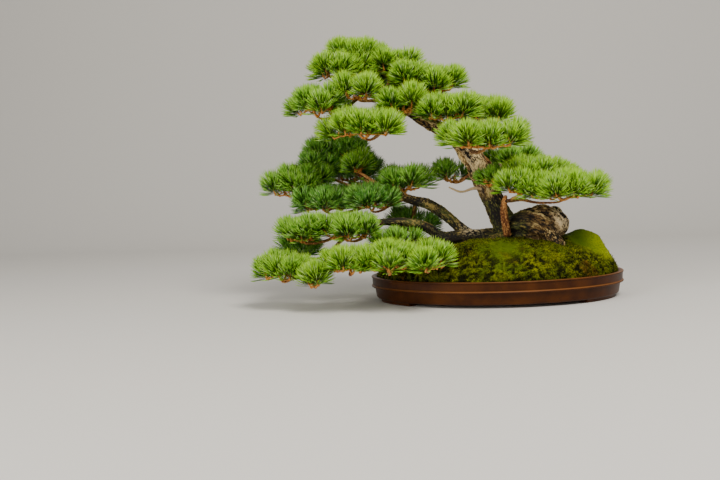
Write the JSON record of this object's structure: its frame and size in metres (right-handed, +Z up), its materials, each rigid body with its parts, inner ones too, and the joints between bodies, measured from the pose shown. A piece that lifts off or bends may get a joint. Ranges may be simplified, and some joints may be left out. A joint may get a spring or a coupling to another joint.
{
  "type": "japanese white pine bonsai in a pot",
  "caption": "Old white pine bonsai that leans and sweeps to the left over a moss mound, its needles held in flat pads, planted in a shallow oval brown clay pot.",
  "frame": {"origin": "the middle of the whole object's box, at the surface that the pot's feet stand on", "axes": "+X to the right along the pot's long axis as seen from the front, +Y to the back, +Z up"},
  "size_m": [0.6978, 0.4128, 0.5184],
  "materials": {
    "stoneware": "unglazed brown clay, satin",
    "drain_plastic": "matt",
    "soil": "matt grains of baked clay",
    "moss": "matt living moss",
    "bark": "rough flaking bark",
    "needles": "satin living needles"
  },
  "bodies": {
    "root": {"pot": "stoneware", "drain_mesh_left": "drain_plastic", "drain_mesh_right": "drain_plastic", "soil": "soil", "moss": "moss", "wood": "bark", "pad_apex_left": "needles", "pad_apex_top": "needles", "pad_apex_right": "needles", "pad_finger_left": "needles", "pad_crown_middle": "needles", "pad_lower_left": "needles", "pad_crown_front": "needles", "pad_crown_inner": "needles", "pad_shoulder_top": "needles", "pad_shoulder_front": "needles", "pad_shoulder_right": "needles", "pad_right_front": "needles", "pad_right_outer": "needles", "pad_right_upper": "needles", "pad_right_inner": "needles", "pad_right_back": "needles", "pad_small_left": "needles", "pad_trunk_tuft": "needles", "pad_dark_crown": "needles", "pad_dark_slope": "needles", "pad_dark_right": "needles", "pad_dark_upper": "needles", "pad_left_tip": "needles", "pad_left_step": "needles", "pad_middle_left": "needles", "pad_middle_right": "needles", "pad_limb_top": "needles", "pad_limb_under": "needles", "pad_low_left": "needles", "pad_low_middle": "needles", "pad_low_back": "needles", "pad_front_left": "needles", "pad_front_left_inner": "needles", "pad_front_rim": "needles", "pad_front_middle": "needles", "pad_front_right": "needles", "pad_front_back": "needles", "pad_back_crown": "needles", "pad_back_shoulder": "needles", "pad_back_right": "needles", "pad_back_left": "needles"}
  },
  "joints": []
}
